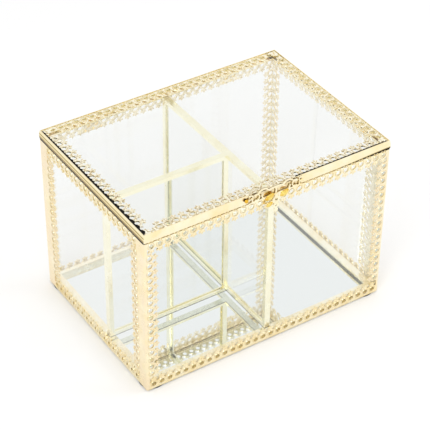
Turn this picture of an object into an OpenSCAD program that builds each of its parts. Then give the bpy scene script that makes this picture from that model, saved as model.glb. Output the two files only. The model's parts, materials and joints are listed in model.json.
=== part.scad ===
// Glass jewelry box: clear panes held by folded metal strips whose free edges are
// pierced and cut into lace, three compartments over a mirror floor, and a hinged lid.
// Millimetres. x runs left to right, y front to back, z up. The origin is the middle
// of the footprint, on the surface that the feet stand on.

/* [Box] */
// Width of the box, left to right
box_w = 240; // [220:1:260]
// Depth of the box, front to back, without the hinges
box_d = 170; // [150:1:190]
// Height of the body without its feet
body_h = 154.5; // [140:0.5:170]
// Thickness of the glass panes
glass_t = 3; // [2.5:0.5:3.5]
// Thickness of the mirror floor
mirror_t = 3; // [2.5:0.5:4]
// Thickness of the folded metal strip
strip_t = 1; // [0.8:0.1:1.2]

/* [Lace] */
// Spacing that the lace motifs aim for
lace_pitch = 7.7; // [7.2:0.1:8.4]
// Radius of the hole in each ring
ring_hole_r = 2.2; // [1.8:0.1:2.4]
// Radius of the hole in each fleur
fleur_hole_r = 0.5; // [0.4:0.05:0.6]
// Radius of the notches that part the beads of a beaded edge
notch_r = 0.75; // [0.5:0.05:0.8]
// Bottom edge to ring centres on the base rails
base_ring = 5; // [4.6:0.1:5.4]
// Top edge to ring centres on the top rims
rim_ring = 4; // [3.8:0.1:4.2]
// Corner to ring centres on the narrow leg of a post
narrow_ring = 5; // [4.8:0.1:5.6]
// Plain band of the narrow leg of a post
narrow_band = 2.8; // [2:0.1:2.8]
// Plain band of the wide leg of a post
wide_band = 12; // [10:0.5:13]
// Plain band of the front right post's leg on the right side
broad_band = 19; // [16:0.5:20]
// Plain height of a post's lace edge above the bottom
post_start = 13.5; // [13:0.1:15]
// Plain height of a post's lace edge below the top
post_stop = 12; // [11.5:0.1:14]

/* [Dividers] */
// Middle of the long divider, right of the box's middle
long_x = 1.5; // [-20:0.5:20]
// Middle of the cross divider, behind the box's middle
cross_y = -19; // [-30:0.5:30]
// Width of the channels that hold the divider panes
channel_w = 5.5; // [5:0.1:7]
// Height of the top and bottom channels
channel_h = 3.7; // [3:0.1:5]
// Room between the floor and the bottom channels
channel_lift = 6.1; // [5:0.1:8]
// Depth of the upright channels
channel_d = 4; // [3:0.1:4]
// Height of the trim bars around the floor
trim_h = 4.5; // [3:0.1:5]
// Width of the trim bars along the left and right walls
trim_side_w = 6.2; // [5:0.1:9]

/* [Lid] */
// Height of the lid's band
lid_h = 7.7; // [7.5:0.1:9]
// Thickness of the lid's band at its fullest
band_t = 1.2; // [1.2:0.1:1.5]
// How far the band's face swells between its edges
band_swell = 0.6; // [0.3:0.1:0.7]
// Gap between the body and the closed lid
lid_gap = 0.8; // [0.4:0.1:1]
// Groove between the lid's band and its lace
groove_w = 0.5; // [0.3:0.1:0.6]
// Lid edge to ring centres on the lid's lace
lid_ring = 5.2; // [5:0.1:5.6]

/* [Hinges] */
// Length of a hinge along the back edge
hinge_l = 18; // [14:1:24]
// Distance of each hinge from the box's middle
hinge_x = 70; // [40:1:90]
// Outer radius of the knuckles
knuckle_r = 1.6; // [1.5:0.1:1.8]
// Radius of the hinge pin
pin_r = 0.7; // [0.6:0.05:0.8]

/* [Ornament] */
// Half width of the plate behind the ornament
ornament_half = 26; // [25:1:28]
// Middle of the ornament, right of the box's middle
ornament_x = 2.5; // [-10:0.5:10]

/* [Feet] */
// Height of the feet
foot_h = 1.5; // [1:0.1:3]
// Radius of a foot
foot_r = 9; // [6:0.5:10]
// Foot centre in from both edges
foot_in = 11; // [10:0.5:14]

/* [Hidden] */
GOLD = [0.95, 0.88, 0.68];
AMBER = [0.86, 0.62, 0.16];
GLASS = [0.86, 0.92, 0.92, 0.35];
MIRROR = [0.85, 0.9, 0.9];
RUBBER = [0.12, 0.12, 0.12];

// Heights of the layers, from the feet up
ledge_t = 1.2;
ledge_w = 9;
glass_z = foot_h + ledge_t;
floor_z = glass_z + mirror_t;
trim_z = floor_z + trim_h;
body_z = foot_h + body_h;
pane_top_z = body_z - strip_t;
channel_top_z = body_z - channel_h;
channel_bottom_z = floor_z + channel_lift;
divider_z = channel_bottom_z + strip_t;
lid_z = body_z + lid_gap;

// Depth from an outer face to the inner face of its pane
inner_d = strip_t + glass_t;
inside_w = box_w - 2 * inner_d;
inside_d = box_d - 2 * inner_d;
trim_end_w = channel_d;

// One motif's inner edge, from its tip down to the valley beside it: x is a share
// of the pitch from the ring's centre, y is the height above the ring's centre
FLEUR = [[0, 7.8], [0.1, 6.4], [0.22, 5.9], [0.36, 6.3], [0.34, 5], [0.17, 4.2],
    [0.34, 3.1], [0.5, 1.6]];
valley = FLEUR[7][1];
fleur_hole_y = 5.2;
// Distance of a bead's two notches from its ring's axis
notch_x = 1.45;
MOTIF = concat([for (i = [6 : -1 : 1]) [-FLEUR[i][0], FLEUR[i][1]]], FLEUR);

// Number of whole motifs that best fills a length
function motifs(length) = round(length / lace_pitch);

// Inner edge of the lace between two places, with motif number 0 starting at x0
function lace_edge(x0, pitch, ring, first, last) =
    [for (i = [first : last], q = MOTIF) [x0 + (i + 0.5 + q[0]) * pitch, ring + q[1]]];

// Holes of motifs first to last: the ring of each and the eye of its fleur
module piercings(x0, pitch, ring, first, last) {
    for (i = [first : last]) {
        translate([x0 + (i + 0.5) * pitch, ring]) circle(r = ring_hole_r, $fn = 8);
        translate([x0 + (i + 0.5) * pitch, ring + fleur_hole_y]) circle(r = fleur_hole_r, $fn = 16);
    }
}

// Pairs of notches along an outer edge, one pair at each ring, that leave beads
module notches(x0, pitch, first, last) {
    for (i = [first : last], side = [-1, 1])
        translate([x0 + (i + 0.5) * pitch + side * notch_x, 0]) circle(r = notch_r, $fn = 24);
}

// A strip with square ends, its lace kept start and stop away from them. Where the
// lace stops, the strip is only as wide as its plain band.
module lace_strip(length, ring, band = 0, start = 0, stop = 0, beaded = false) {
    n = motifs(length - start - stop);
    pitch = (length - start - stop) / n;
    head = start > 0 ? [[0, band], [start, band]] : [];
    tail = stop > 0 ? [[length - stop, band], [length, band]] : [];
    difference() {
        polygon(concat([[0, 0]], head, [[start, ring + valley]],
            lace_edge(start, pitch, ring, 0, n - 1), tail, [[length, 0]]));
        piercings(start, pitch, ring, 0, n - 1);
        if (beaded) notches(start, pitch, 0, n - 1);
    }
}

// A beaded strip whose ends are mitred and whose end motifs have a ring but no fleur
module mitred_lace(length, ring) {
    margin = ring + ring_hole_r / 2;
    w = ring + valley;
    n = motifs(length - 2 * margin);
    pitch = (length - 2 * margin) / n;
    difference() {
        polygon(concat([[0, 0], [w, w], [margin + pitch, w]],
            lace_edge(margin, pitch, ring, 1, n - 2), [[length - w, w], [length, 0]]));
        piercings(margin, pitch, ring, 1, n - 2);
        for (i = [0, n - 1])
            translate([margin + (i + 0.5) * pitch, ring]) circle(r = ring_hole_r, $fn = 8);
        notches(margin, pitch, 0, n - 1);
    }
}

// Places children drawn along the front edge, x from the left corner and y inwards,
// on one of the four sides
module on_side(side) {
    if (side == "front") translate([-box_w / 2, -box_d / 2]) children();
    if (side == "back") rotate(180) translate([-box_w / 2, -box_d / 2]) children();
    if (side == "left") rotate(-90) translate([-box_d / 2, -box_w / 2]) children();
    if (side == "right") rotate(90) translate([-box_d / 2, -box_w / 2]) children();
}

function side_length(side) = side == "front" || side == "back" ? box_w : box_d;

// Plain bands of the posts at the start and the end of a side, as seen from outside
function band_at_start(side) = side == "left" ? wide_band :
    side == "right" ? broad_band : narrow_band;
function band_at_end(side) = side == "left" ? wide_band : narrow_band;

// Flat picture-frame member with 45-degree ends, between two depths
module frame_member(length, d0, d1, h) {
    linear_extrude(h)
        polygon([[d0, d0], [length - d0, d0], [length - d1, d1], [d1, d1]]);
}

// Upright leg of a folded strip: stands on the outer face, its drawing's y is up
module stand_up(x, z) {
    translate([x, strip_t, z]) rotate([90, 0, 0]) linear_extrude(strip_t) children();
}

module pane(size, pos) {
    color(GLASS) translate(pos) cube(size);
}

module front_pane() {
    pane([box_w - 2 * strip_t, glass_t, pane_top_z - glass_z],
        [-box_w / 2 + strip_t, -box_d / 2 + strip_t, glass_z]);
}

module back_pane() {
    pane([box_w - 2 * strip_t, glass_t, pane_top_z - glass_z],
        [-box_w / 2 + strip_t, box_d / 2 - inner_d, glass_z]);
}

module left_pane() {
    pane([glass_t, inside_d, pane_top_z - glass_z],
        [-box_w / 2 + strip_t, -inside_d / 2, glass_z]);
}

module right_pane() {
    pane([glass_t, inside_d, pane_top_z - glass_z],
        [box_w / 2 - inner_d, -inside_d / 2, glass_z]);
}

module mirror_floor() {
    color(MIRROR) translate([-inside_w / 2, -inside_d / 2, glass_z])
        cube([inside_w, inside_d, mirror_t]);
}

// Outline of a post's section, rounded at its outer corner
module rounded_corner(size) {
    r = 1.5;
    translate([r, r]) circle(r = r, $fn = 48);
    translate([r, 0]) square([size - r, size]);
    translate([0, r]) square([size, size - r]);
}

// One upright leg of a post, lying on the face y = 0 with the corner at x = 0
module post_leg(band, ring) {
    rotate([0, -90, -90])
        linear_extrude(strip_t) lace_strip(body_h, ring, band, post_start, post_stop);
}

// Post at the front left corner: a strip folded lengthwise, lace on both legs
module post(front_band, front_ring, side_band, side_ring) {
    color(GOLD) translate([-box_w / 2, -box_d / 2, foot_h]) intersection() {
        union() {
            post_leg(front_band, front_ring);
            mirror([1, -1, 0]) post_leg(side_band, side_ring);
        }
        linear_extrude(body_h) rounded_corner(broad_band + 2 * lace_pitch);
    }
}

wide_ring = wide_band + narrow_ring - narrow_band;
broad_ring = broad_band + narrow_ring - narrow_band;

module corner_post_front_left() {
    post(narrow_band, narrow_ring, wide_band, wide_ring);
}

module corner_post_front_right() {
    mirror([1, 0, 0]) post(narrow_band, narrow_ring, broad_band, broad_ring);
}

module corner_post_back_left() {
    mirror([0, 1, 0]) post(narrow_band, narrow_ring, wide_band, wide_ring);
}

module corner_post_back_right() {
    mirror([1, 0, 0]) mirror([0, 1, 0])
        post(narrow_band, narrow_ring, narrow_band, narrow_ring);
}

// Bottom strip of one side: lace up the face, plain ledge turned in under the glass
module base_rail(side) {
    a = band_at_start(side);
    b = band_at_end(side);
    length = side_length(side);
    color(GOLD) on_side(side) {
        stand_up(a, foot_h) lace_strip(length - a - b, base_ring);
        translate([0, 0, foot_h]) frame_member(length, strip_t, ledge_w, ledge_t);
    }
}

// Top strip of one side: lace down the face, plain edge turned in over the glass
module top_rim(side) {
    a = band_at_start(side);
    b = band_at_end(side);
    length = side_length(side);
    color(GOLD) on_side(side) {
        stand_up(a, body_z) mirror([0, 1]) lace_strip(length - a - b, rim_ring, beaded = true);
        translate([0, 0, pane_top_z]) frame_member(length, strip_t, inner_d, strip_t);
    }
}

// Bar that covers the joint of the floor with a wall
module trim_bar(size, pos) {
    color(GOLD) translate(concat(pos, floor_z)) cube(concat(size, trim_h));
}

module floor_trim_front() {
    trim_bar([inside_w, trim_end_w], [-inside_w / 2, -inside_d / 2]);
}

module floor_trim_back() {
    trim_bar([inside_w, trim_end_w], [-inside_w / 2, inside_d / 2 - trim_end_w]);
}

module floor_trim_left() {
    trim_bar([trim_side_w, inside_d - 2 * trim_end_w],
        [-inside_w / 2, -inside_d / 2 + trim_end_w]);
}

module floor_trim_right() {
    trim_bar([trim_side_w, inside_d - 2 * trim_end_w],
        [inside_w / 2 - trim_side_w, -inside_d / 2 + trim_end_w]);
}

// Folded channel along x, centred on y = 0, open upwards to take a pane
module channel(length) {
    color(GOLD) difference() {
        translate([0, -channel_w / 2, 0]) cube([length, channel_w, channel_h]);
        translate([-1, -glass_t / 2, strip_t]) cube([length + 2, glass_t, channel_h]);
    }
}

module long_divider_pane() {
    pane([glass_t, inside_d - 2 * strip_t, pane_top_z - divider_z],
        [long_x - glass_t / 2, -inside_d / 2 + strip_t, divider_z]);
}

module long_channel_bottom() {
    translate([long_x, -inside_d / 2 + channel_d, channel_bottom_z]) rotate(90)
        channel(inside_d - 2 * channel_d);
}

module long_channel_top() {
    translate([long_x, -inside_d / 2, body_z]) rotate([180, 0, 90]) channel(inside_d);
}

// Upright channel, its web on the plane x = 0 and open towards +x
module upright(z0, z1) {
    color(GOLD) translate([0, 0, z0]) difference() {
        translate([0, -channel_w / 2, 0]) cube([channel_d, channel_w, z1 - z0]);
        translate([strip_t, -glass_t / 2, -1]) cube([channel_d, glass_t, z1 - z0 + 2]);
    }
}

module long_channel_front() {
    translate([long_x, -inside_d / 2, 0]) rotate(90) upright(trim_z, channel_top_z);
}

module long_channel_back() {
    translate([long_x, inside_d / 2, 0]) rotate(-90) upright(trim_z, channel_top_z);
}

// The cross divider runs from the left wall to the long divider's channels
cross_x0 = -inside_w / 2;
cross_x1 = long_x - channel_w / 2;

module cross_divider_pane() {
    pane([cross_x1 - cross_x0 - strip_t, glass_t, pane_top_z - divider_z],
        [cross_x0 + strip_t, cross_y - glass_t / 2, divider_z]);
}

module cross_channel_bottom() {
    translate([cross_x0 + channel_d, cross_y, channel_bottom_z])
        channel(cross_x1 - cross_x0 - channel_d);
}

module cross_channel_top() {
    translate([cross_x0, cross_y, body_z]) rotate([180, 0, 0]) channel(cross_x1 - cross_x0);
}

module cross_channel_left() {
    translate([cross_x0, cross_y, 0]) upright(trim_z, channel_top_z);
}

// Its web lies against the long divider's pane, between that pane's own channels
module cross_channel_right() {
    translate([long_x - glass_t / 2, cross_y, 0]) rotate(180)
        upright(channel_bottom_z + channel_h, channel_top_z);
}

// Soft round pad under a corner
module foot(right, back) {
    color(RUBBER) translate([right * (box_w / 2 - foot_in), back * (box_d / 2 - foot_in), 0])
        cylinder(r = foot_r, h = foot_h, $fn = 64);
}

module foot_front_left() {
    foot(-1, -1);
}

module foot_front_right() {
    foot(1, -1);
}

module foot_back_left() {
    foot(-1, 1);
}

module foot_back_right() {
    foot(1, 1);
}

// Lid

// Section of the lid's band: d outwards in, z up. Its face is fullest below the
// middle and leans in towards the top. A ledge carries the glass and a flange closes
// the box.
band_ledge_z = 2.6;
band_ledge_t = 0.8;
band_ledge_w = 4;
band_flange_w = 5;
band_full_z = lid_h / 3;
band_arc_r = (pow(lid_h - band_full_z, 2) + band_swell * band_swell) / (2 * band_swell);

module band_section() {
    intersection() {
        union() {
            square([band_t, lid_h]);
            square([band_flange_w, band_ledge_t]);
            translate([0, band_ledge_z]) square([band_ledge_w, band_ledge_t]);
        }
        translate([band_arc_r, band_full_z]) circle(r = band_arc_r, $fn = 180);
    }
}

module lid_rim(side) {
    length = side_length(side);
    color(GOLD) on_side(side) translate([0, 0, lid_z]) intersection() {
        rotate([90, 0, 90]) linear_extrude(length) band_section();
        frame_member(length, 0, 2 * band_flange_w, lid_h);
    }
}

lid_glass_z = lid_z + band_ledge_z + band_ledge_t;
lid_lace_t = 0.8;

module lid_pane() {
    pane([box_w - 2 * band_t, box_d - 2 * band_t, glass_t],
        [-box_w / 2 + band_t, -box_d / 2 + band_t, lid_glass_z]);
}

module lid_lace(side) {
    edge = band_t + groove_w;
    color(GOLD) on_side(side)
        translate([edge, edge, lid_glass_z + glass_t])
            linear_extrude(lid_lace_t)
                mitred_lace(side_length(side) - 2 * edge, lid_ring - edge);
}

// Butt hinges: the body's leaf has the two end knuckles, the lid's has the middle one

hinge_y = box_d / 2 + 1.9;
hinge_z = body_z + lid_gap / 2;
leaf_t = 0.8;
leaf_h = 11;
leaf_rise = 6.6;
pin_gap = 0.05;
knuckle_gap = 0.2;
knuckle_l = (hinge_l - 2 * knuckle_gap) / 3;
leaf_clear = knuckle_r + 0.5;

module knuckle(x0, length) {
    translate([x0, hinge_y, hinge_z]) rotate([0, 90, 0])
        cylinder(r = knuckle_r, h = length, $fn = 48);
}

module pin_hole() {
    translate([-hinge_l, hinge_y, hinge_z]) rotate([0, 90, 0])
        cylinder(r = pin_r + pin_gap, h = 2 * hinge_l, $fn = 32);
}

module leaf_plate(x0, length, z0, z1) {
    translate([x0, box_d / 2, z0]) cube([length, leaf_t, z1 - z0]);
}

module hinge_leaf_body() {
    color(GOLD) difference() {
        union() {
            leaf_plate(-hinge_l / 2, hinge_l, hinge_z - leaf_h, hinge_z - leaf_clear);
            for (x0 = [-hinge_l / 2, hinge_l / 2 - knuckle_l]) {
                leaf_plate(x0, knuckle_l, hinge_z - leaf_clear, hinge_z);
                knuckle(x0, knuckle_l);
            }
        }
        pin_hole();
    }
}

module hinge_leaf_lid() {
    color(GOLD) difference() {
        union() {
            leaf_plate(-hinge_l / 2, hinge_l, hinge_z + leaf_clear, hinge_z + leaf_rise);
            leaf_plate(-knuckle_l / 2, knuckle_l, hinge_z, hinge_z + leaf_clear);
            knuckle(-knuckle_l / 2, knuckle_l);
        }
        pin_hole();
    }
}

module hinge_pin() {
    color(GOLD) translate([-hinge_l / 2, hinge_y, hinge_z]) rotate([0, 90, 0])
        cylinder(r = pin_r, h = hinge_l, $fn = 32);
}

module hinge_leaf_body_left() {
    translate([-hinge_x, 0, 0]) hinge_leaf_body();
}

module hinge_leaf_body_right() {
    translate([hinge_x, 0, 0]) hinge_leaf_body();
}

module hinge_pin_left() {
    translate([-hinge_x, 0, 0]) hinge_pin();
}

module hinge_pin_right() {
    translate([hinge_x, 0, 0]) hinge_pin();
}

module hinge_leaf_lid_left() {
    translate([-hinge_x, 0, 0]) hinge_leaf_lid();
}

module hinge_leaf_lid_right() {
    translate([hinge_x, 0, 0]) hinge_leaf_lid();
}

// Ornament: a cast scroll on a backing plate, fixed to the front of the lid's band

plate_t = 0.6;
tab_t = 0.6;
scroll_t = 1.6;
front_y = -box_d / 2;
ornament_z = lid_z + lid_h / 2;
scroll_front = plate_t + scroll_t;
petal_front = knuckle_r + hinge_y - box_d / 2;

// Stands a drawing up on the front: x to the right, y up, thickness forwards
module on_front(t, proud) {
    translate([ornament_x, front_y - proud, ornament_z]) rotate([90, 0, 0])
        linear_extrude(t) children();
}

module ornament_plate() {
    h = lid_h - 1.5;
    color(GOLD) on_front(plate_t, 0)
        polygon([[-ornament_half, 0], [-ornament_half + 3, h / 2], [ornament_half - 3, h / 2],
            [ornament_half, 0], [ornament_half - 3, -h / 2], [-ornament_half + 3, -h / 2]]);
}

// Part of a ring about the origin, from one angle to another
module arc_band(r, w, a0, a1) {
    steps = ceil((a1 - a0) / 60);
    intersection() {
        difference() {
            circle(r = r + w / 2, $fn = 48);
            circle(r = r - w / 2, $fn = 48);
        }
        polygon(concat([[0, 0]], [for (i = [0 : steps])
            let (a = a0 + (a1 - a0) * i / steps) 2 * r * [cos(a), sin(a)]]));
    }
}

// Scroll open to the right: most of a ring that ends in a bead
module curl(r, w) {
    arc_band(r, w, 50, 310);
    rotate(50) translate([r, 0]) circle(r = w * 0.8, $fn = 24);
}

crest_r = 30;
crest_y = 4.2;
rail_y = -3.6;

// One half of the scroll, growing to the right from the middle; the left end also has
// a bud
module half_scroll() {
    translate([0, rail_y]) square([25, 1.5]);
    translate([0, crest_y - crest_r]) arc_band(crest_r, 1.2, 76, 90);
    translate([12, 0.3]) arc_band(6, 1.2, 25, 148);
    translate([11.4, rail_y]) rotate(-22) square([1.3, 5.5]);
    translate([18.6, 0.8]) curl(2.7, 1.1);
    translate([24.8, -1.2]) curl(2.1, 1);
    translate([24.4, 2.5]) curl(1.8, 0.9);
    translate([18.6, rail_y - 0.9]) circle(r = 1.3, $fn = 32);
}

module ornament_scroll() {
    color(GOLD) on_front(scroll_t, plate_t) {
        half_scroll();
        mirror([1, 0]) half_scroll();
        translate([-0.7, rail_y]) square([1.4, crest_y - rail_y]);
        translate([-28.2, 0.4]) circle(r = 1.6, $fn = 32);
        translate([-27.2, 0.1]) square([1.2, 1]);
    }
}

// Outline of a petal: where two large circles overlap
module petal(size) {
    petal_r = 6.4;
    shift = 3.7;
    rotate(22) intersection() {
        translate([0, size * shift]) circle(r = size * petal_r, $fn = 64);
        translate([0, -size * shift]) circle(r = size * petal_r, $fn = 64);
    }
}

// Petal at x, y of the ornament, its flat back proud of the front by the depth given
// and its domed face as far forward as the hinges reach back
module domed_petal(x, y, back, size) {
    dome_r = 9;
    color(AMBER) translate([ornament_x + x, front_y - back, ornament_z + y])
        intersection() {
            translate([0, dome_r - petal_front + back, 0]) sphere(r = dome_r, $fn = 180);
            rotate([90, 0, 0]) linear_extrude(petal_front - back) petal(size);
        }
}

module ornament_petal_left() {
    domed_petal(-6.4, -3.2, scroll_front, 1);
}

module ornament_petal_right() {
    domed_petal(8, -4.4, scroll_front, 1);
}

low_petal = [-6.6, -10.4];

module ornament_petal_low() {
    domed_petal(low_petal[0], low_petal[1], scroll_front + tab_t, 0.7);
}

// Drop that hangs from the scroll over the front edge, to lift the lid by, with a leaf
// at its side
module ornament_tab() {
    color(GOLD) on_front(tab_t, scroll_front) difference() {
        union() {
            translate([-1.3, -6]) square([2.6, 4]);
            translate([0, -8]) circle(r = 3.6, $fn = 48);
            translate([0, -13.8]) circle(r = 2.7, $fn = 48);
            translate([0, -18.3]) circle(r = 2.1, $fn = 48);
            translate(low_petal) petal(0.9);
        }
        translate([0, -8]) circle(r = 1.5, $fn = 24);
        translate([0, -13.8]) circle(r = 1, $fn = 24);
    }
}

front_pane();
back_pane();
left_pane();
right_pane();
mirror_floor();
corner_post_front_left();
corner_post_front_right();
corner_post_back_left();
corner_post_back_right();
base_rail("front");  // base_rail_front
base_rail("back");  // base_rail_back
base_rail("left");  // base_rail_left
base_rail("right");  // base_rail_right
top_rim("front");  // top_rim_front
top_rim("back");  // top_rim_back
top_rim("left");  // top_rim_left
top_rim("right");  // top_rim_right
lid_rim("front");  // lid_rim_front
lid_rim("back");  // lid_rim_back
lid_rim("left");  // lid_rim_left
lid_rim("right");  // lid_rim_right
lid_lace("front");  // lid_lace_front
lid_lace("back");  // lid_lace_back
lid_lace("left");  // lid_lace_left
lid_lace("right");  // lid_lace_right
floor_trim_front();
floor_trim_back();
floor_trim_left();
floor_trim_right();
long_divider_pane();
long_channel_bottom();
long_channel_top();
long_channel_front();
long_channel_back();
cross_divider_pane();
cross_channel_bottom();
cross_channel_top();
cross_channel_left();
cross_channel_right();
foot_front_left();
foot_front_right();
foot_back_left();
foot_back_right();
hinge_leaf_body_left();
hinge_leaf_body_right();
hinge_pin_left();
hinge_pin_right();
lid_pane();
hinge_leaf_lid_left();
hinge_leaf_lid_right();
ornament_plate();
ornament_scroll();
ornament_tab();
ornament_petal_left();
ornament_petal_right();
ornament_petal_low();
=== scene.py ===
# %% [markdown]
# # A glass jewelry box with lace edging
# The box is clear glass held by folded strips of pale gold metal. This lesson dresses the
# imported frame: it takes the construction as it is, gives each surface its finish, and adds
# the small forms that rolling, grinding and casting leave on the real thing, such as the
# raised rims of the lace and the rounded scroll ornament. Everything is in metres.

import json
import math

import bpy
from mathutils import Matrix, Vector


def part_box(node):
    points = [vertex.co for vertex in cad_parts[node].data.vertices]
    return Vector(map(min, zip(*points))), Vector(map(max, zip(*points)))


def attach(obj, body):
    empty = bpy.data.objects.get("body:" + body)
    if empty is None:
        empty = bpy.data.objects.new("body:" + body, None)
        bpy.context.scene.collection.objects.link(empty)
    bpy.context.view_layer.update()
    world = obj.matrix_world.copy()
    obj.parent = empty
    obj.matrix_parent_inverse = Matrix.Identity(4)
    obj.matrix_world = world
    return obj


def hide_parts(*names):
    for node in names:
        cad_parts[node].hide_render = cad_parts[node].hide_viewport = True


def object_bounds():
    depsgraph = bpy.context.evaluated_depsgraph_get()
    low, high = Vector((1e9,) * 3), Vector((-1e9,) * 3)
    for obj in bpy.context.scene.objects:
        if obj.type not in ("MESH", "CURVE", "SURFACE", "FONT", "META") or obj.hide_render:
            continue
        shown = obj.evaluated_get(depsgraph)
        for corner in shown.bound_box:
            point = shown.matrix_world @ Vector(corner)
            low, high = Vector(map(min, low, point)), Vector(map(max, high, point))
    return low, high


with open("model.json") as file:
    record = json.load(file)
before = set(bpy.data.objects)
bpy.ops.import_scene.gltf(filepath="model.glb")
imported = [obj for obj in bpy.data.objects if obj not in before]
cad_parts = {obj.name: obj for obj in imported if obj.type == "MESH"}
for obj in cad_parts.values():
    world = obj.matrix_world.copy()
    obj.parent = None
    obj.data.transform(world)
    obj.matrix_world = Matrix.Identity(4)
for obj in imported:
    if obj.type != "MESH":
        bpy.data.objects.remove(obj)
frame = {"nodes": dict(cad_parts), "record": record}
cad_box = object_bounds()
nodes = frame["nodes"]
scene = bpy.context.scene
mm = 0.001
print("nodes:", len(nodes), "box:", [round(v / mm, 1) for v in cad_box[1] - cad_box[0]])

# %% [markdown]
# ## The camera
# A product shot of a box is taken from above one corner with a long lens, so that the
# upright edges stay nearly parallel. A camera can be placed by hand and nudged, or worked
# out from its turn, its tilt and its distance. The second way is used, because each value
# then has a meaning and can be changed by itself. The two aims are how far the camera's
# axis passes beside and above the middle of the box's underside.

# %% Camera
IMAGE_SIDE = 430
FOCAL_PX = 1607
SENSOR_MM = 36
NEAREST, FARTHEST = 0.05, 50
turn = math.radians(-33.36)
tilt = math.radians(37.66)
lean = math.radians(0.57)
distance = 1.4398
aim_right = 1.81 * mm
aim_up = 62.65 * mm
foot_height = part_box("foot_front_left")[1].z

looking = Vector((-math.sin(turn) * math.cos(tilt),
                  math.cos(turn) * math.cos(tilt),
                  -math.sin(tilt)))
level_right = looking.cross(Vector((0, 0, 1))).normalized()
level_up = level_right.cross(looking)
cam_right = math.cos(lean) * level_right + math.sin(lean) * level_up
cam_up = math.cos(lean) * level_up - math.sin(lean) * level_right
cam_place = (-looking * distance + cam_right * aim_right + cam_up * aim_up
             + Vector((0, 0, foot_height)))

cam_data = bpy.data.cameras.new("camera")
cam_data.sensor_width = SENSOR_MM
cam_data.lens = FOCAL_PX * SENSOR_MM / IMAGE_SIDE
cam_data.clip_start = NEAREST
cam_data.clip_end = FARTHEST
camera = bpy.data.objects.new("camera", cam_data)
scene.collection.objects.link(camera)
camera.matrix_world = Matrix((
    (cam_right.x, cam_up.x, -looking.x, cam_place.x),
    (cam_right.y, cam_up.y, -looking.y, cam_place.y),
    (cam_right.z, cam_up.z, -looking.z, cam_place.z),
    (0, 0, 0, 1)))
scene.camera = camera
print("lens", round(cam_data.lens, 1), "mm, at", [round(v, 3) for v in cam_place])

# %% [markdown]
# ## Tools for the finishes
# Every finish is a small node tree on Object coordinates, so that a pattern stays where it
# is on the object whatever the view. A few helpers keep the trees short: one starts a
# material, one makes a soft noise, some turn a signal into a colour, a roughness or a bump,
# and the rest pick out a part of the piece by its place or by the way its surface faces.

# %% Material helpers
NOISE_LOW, NOISE_HIGH = 0.35, 0.65
BUMP_STRENGTH = 0.4


def new_material(name):
    material = bpy.data.materials.new(name)
    material.use_nodes = True
    tree = material.node_tree
    return material, tree, tree.nodes["Principled BSDF"]


def noise(tree, scale, detail=3, stretch=(1, 1, 1)):
    """Noise on Object coordinates, scale in waves per metre"""
    place = tree.nodes.new("ShaderNodeTexCoord")
    fit = tree.nodes.new("ShaderNodeMapping")
    fit.inputs["Scale"].default_value = stretch
    wave = tree.nodes.new("ShaderNodeTexNoise")
    wave.inputs["Scale"].default_value = scale
    wave.inputs["Detail"].default_value = detail
    tree.links.new(place.outputs["Object"], fit.inputs["Vector"])
    tree.links.new(fit.outputs["Vector"], wave.inputs["Vector"])
    return wave.outputs["Fac"]


def bands(tree, signal, stops):
    """A colour that changes at each stop, a share and a colour, as the signal grows"""
    ramp = tree.nodes.new("ShaderNodeValToRGB")
    steps = ramp.color_ramp.elements
    while len(steps) < len(stops):
        steps.new(0.5)
    for step, (share, colour) in zip(steps, stops):
        step.position = share
        step.color = (*colour, 1)
    tree.links.new(signal, ramp.inputs["Fac"])
    return ramp.outputs["Color"]


def tones(tree, signal, low, high, start=NOISE_LOW, stop=NOISE_HIGH):
    """A colour, or a number, that goes from low to high as the signal grows"""
    low, high = (c if hasattr(c, "__len__") else (c, c, c) for c in (low, high))
    return bands(tree, signal, ((start, low), (stop, high)))


def between(tree, signal, low, high, socket):
    """Moves a socket from low to high as the signal grows"""
    tree.links.new(tones(tree, signal, low, high), socket)


def bumps(tree, shader, signal, height, strength=BUMP_STRENGTH):
    """Makes the surface look raised by the signal, up to a height in metres"""
    bump = tree.nodes.new("ShaderNodeBump")
    bump.inputs["Distance"].default_value = height
    bump.inputs["Strength"].default_value = strength
    tree.links.new(signal, bump.inputs["Height"])
    tree.links.new(bump.outputs["Normal"], shader.inputs["Normal"])


print("material helpers ready")

# %% Masks
LEVEL_SLOPE = 0.6


def reckon(tree, operation, first, second=None):
    """Math node; each value is a number or a socket"""
    step = tree.nodes.new("ShaderNodeMath")
    step.operation = operation
    for value, socket in zip((first, second), step.inputs):
        if hasattr(value, "node"):
            tree.links.new(value, socket)
        elif value is not None:
            socket.default_value = value
    return step.outputs[0]


def above(tree, signal, limit):
    """1 where the signal is more than a number"""
    return reckon(tree, "GREATER_THAN", signal, limit)


def below(tree, signal, limit):
    """1 where the signal is less than a number"""
    return reckon(tree, "LESS_THAN", signal, limit)


def both(tree, mask, *others):
    """1 where every mask is 1"""
    for other in others:
        mask = reckon(tree, "MULTIPLY", mask, other)
    return mask


def either(tree, first, second):
    """1 where one of two masks is 1"""
    return reckon(tree, "MAXIMUM", first, second)


def opposite(tree, mask):
    """0 where the mask is 1, 1 where it is 0"""
    return reckon(tree, "SUBTRACT", 1, mask)


def within(tree, signal, low, high):
    """1 where the signal lies between two numbers"""
    return both(tree, above(tree, signal, low), below(tree, signal, high))


def rise(tree, signal, start, stop):
    """0 below start, 1 above stop and even between"""
    spread = tree.nodes.new("ShaderNodeMapRange")
    spread.inputs["From Min"].default_value = start
    spread.inputs["From Max"].default_value = stop
    tree.links.new(signal, spread.inputs["Value"])
    return spread.outputs["Result"]


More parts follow.
